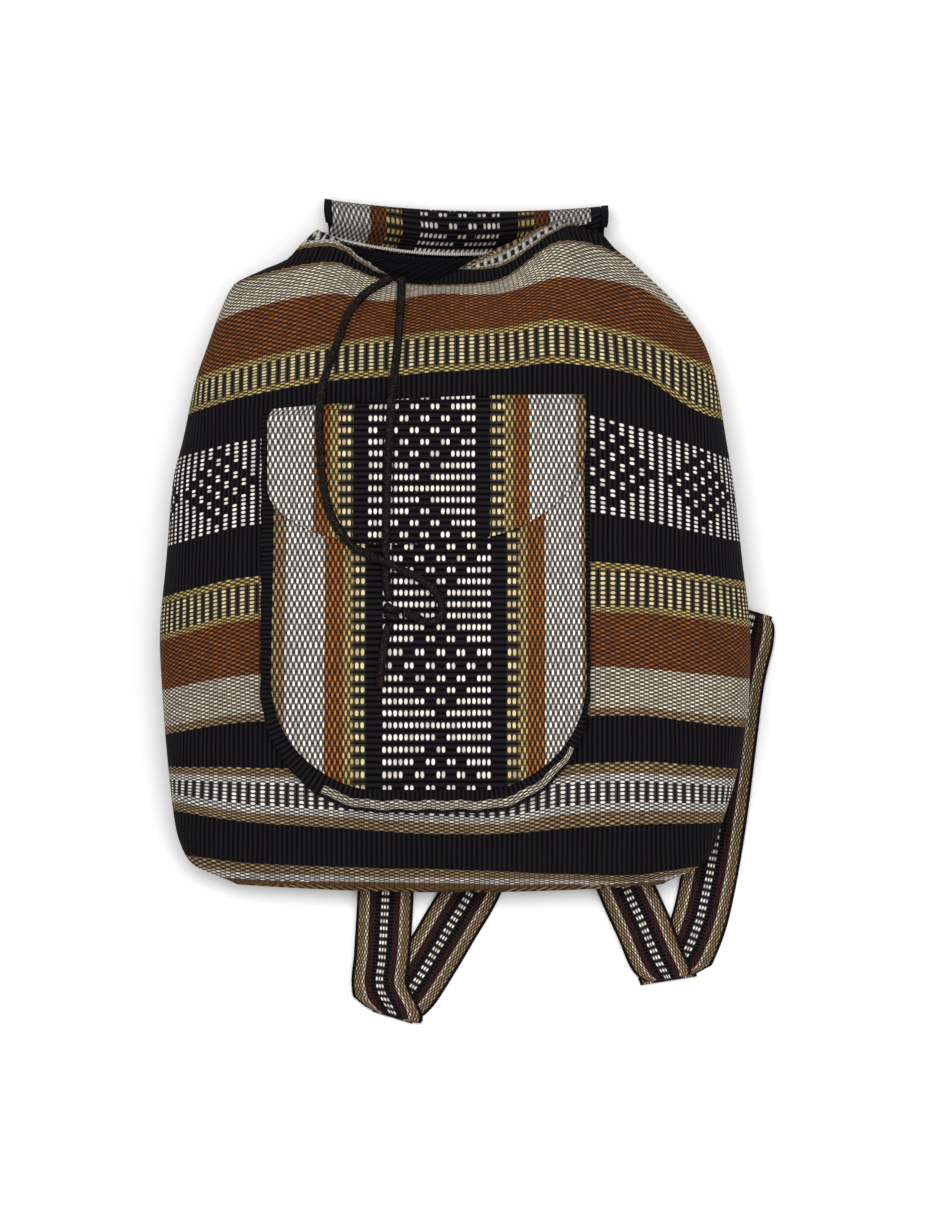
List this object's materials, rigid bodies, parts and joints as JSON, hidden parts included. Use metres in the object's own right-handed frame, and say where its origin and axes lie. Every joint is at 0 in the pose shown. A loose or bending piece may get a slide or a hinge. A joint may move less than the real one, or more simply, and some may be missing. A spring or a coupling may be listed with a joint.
{
  "type": "woven drawstring backpack",
  "caption": "Handwoven drawstring backpack lying on its back, with a U-shaped front pocket, folded-back top flap and two woven straps.",
  "frame": {"origin": "centre of the whole bag's footprint, on the surface it lies on, straps counted and cord not", "axes": "+Y from the bottom seam toward the mouth, +X to the right seen from the front, +Z out of the front"},
  "size_m": [0.3822, 0.5144, 0.1486],
  "materials": {
    "striped_cloth": "handwoven",
    "pocket_cloth": "handwoven",
    "dark_rib_cloth": "ribbed",
    "strap_band": "woven band",
    "braided_cord": "braided"
  },
  "bodies": {
    "root": {"bag_body": "striped_cloth", "pocket_front": "pocket_cloth", "pocket_gusset": "dark_rib_cloth", "pocket_flap": "pocket_cloth", "mouth_flap": "pocket_cloth", "flap_binding": "dark_rib_cloth", "strap_left": "strap_band", "strap_right": "strap_band", "drawcord_left": "braided_cord", "drawcord_right": "braided_cord", "drawcord_tail": "braided_cord", "drawcord_knot": "braided_cord"}
  },
  "joints": []
}
